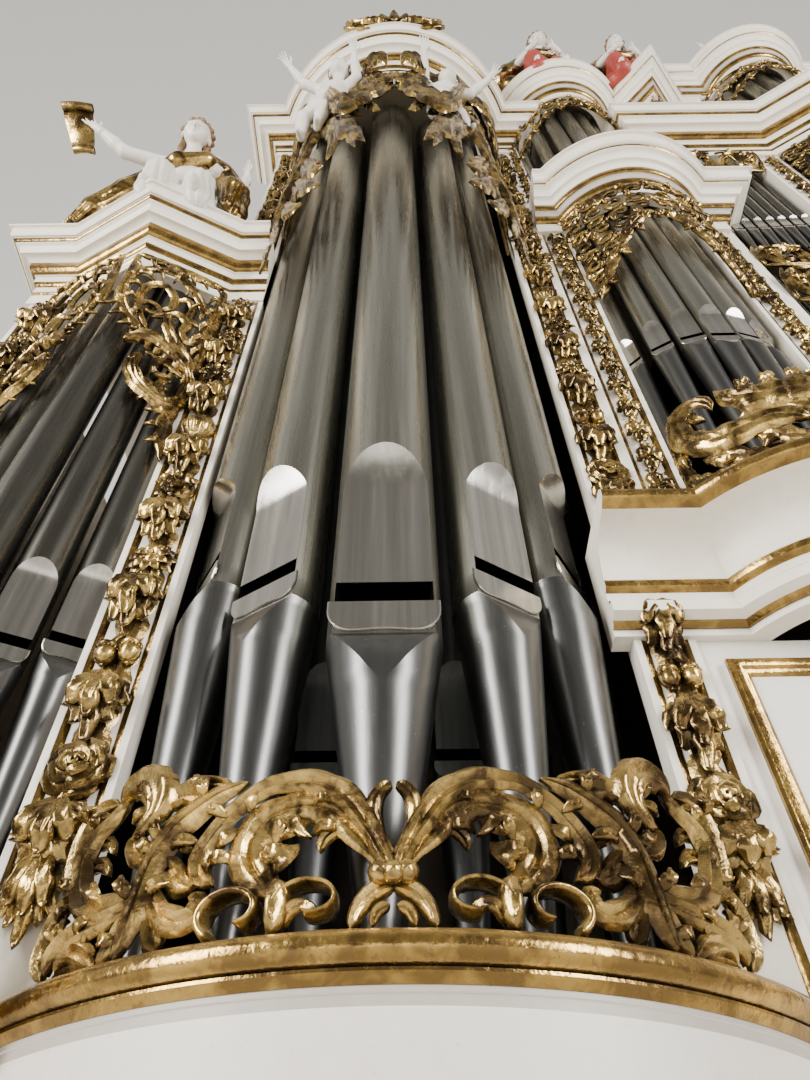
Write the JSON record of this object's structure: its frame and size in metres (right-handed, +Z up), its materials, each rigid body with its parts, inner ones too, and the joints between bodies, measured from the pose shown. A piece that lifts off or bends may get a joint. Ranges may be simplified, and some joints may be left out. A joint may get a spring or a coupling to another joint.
{
  "type": "large pipe organ with a baroque case",
  "caption": "Baroque church pipe organ: white and gilded case with round, pointed and bowed towers of metal front pipes under carved pipe shades.",
  "frame": {"origin": "on the floor, in the middle of the front plane of the pilasters", "axes": "+Z up, +Y from the front to the back, +X to the right seen from the front"},
  "size_m": [11.588, 2.73, 11.4134],
  "materials": {
    "white_paint": "warm white oil paint on wood, satin, with gilded lines",
    "gilding": "old burnished leaf gold on carved wood, brown patina in the hollows",
    "pipe_metal": "aged tin and lead alloy, drawn vertical streaks, satin",
    "dark_pipe_metal": "dull lead alloy, unpolished",
    "dark_wood": "dark unpainted wood inside the case, matte",
    "figure_paint": "white painted carved wood with gilded drapery"
  },
  "bodies": {
    "root": {"plinth": "white_paint", "lower_case_front": "white_paint", "lower_case_panels": "white_paint", "upper_front_panels": "white_paint", "case_sides": "white_paint", "bay_walls": "dark_wood", "back_wall": "white_paint", "roofs": "white_paint", "toe_boards": "dark_wood", "tall_pilasters": "white_paint", "outer_pilasters": "white_paint", "bay_pilasters": "white_paint", "centre_stiles": "white_paint", "wide_drops": "gilding", "narrow_drops": "gilding", "tower_corbels": "white_paint", "tower_base_mouldings": "gilding", "tower_fretwork": "gilding", "vee_corbels": "white_paint", "vee_base_mouldings": "gilding", "vee_fretwork": "gilding", "bow_bases": "white_paint", "bow_base_mouldings": "gilding", "centre_base": "white_paint", "bay_fretwork": "gilding", "tower_shades": "gilding", "vee_shades": "gilding", "bow_shades": "gilding", "centre_shades": "gilding", "flat_carvings": "gilding", "upper_shades": "gilding", "tower_entablatures": "white_paint", "vee_entablatures": "white_paint", "bow_entablatures": "white_paint", "centre_entablature": "white_paint", "low_entablature": "white_paint", "upper_entablatures": "white_paint", "crest_entablature": "white_paint", "upper_backs": "dark_wood", "tower_pipes": "pipe_metal", "inner_pipes": "dark_pipe_metal", "vee_pipes": "pipe_metal", "bow_pipes": "pipe_metal", "flat_pipes": "pipe_metal", "centre_low_pipes": "pipe_metal", "centre_pipes": "pipe_metal", "upper_pipes": "pipe_metal", "putti": "figure_paint", "angels": "figure_paint", "crowns": "gilding", "upper_figures": "figure_paint"}
  },
  "joints": []
}
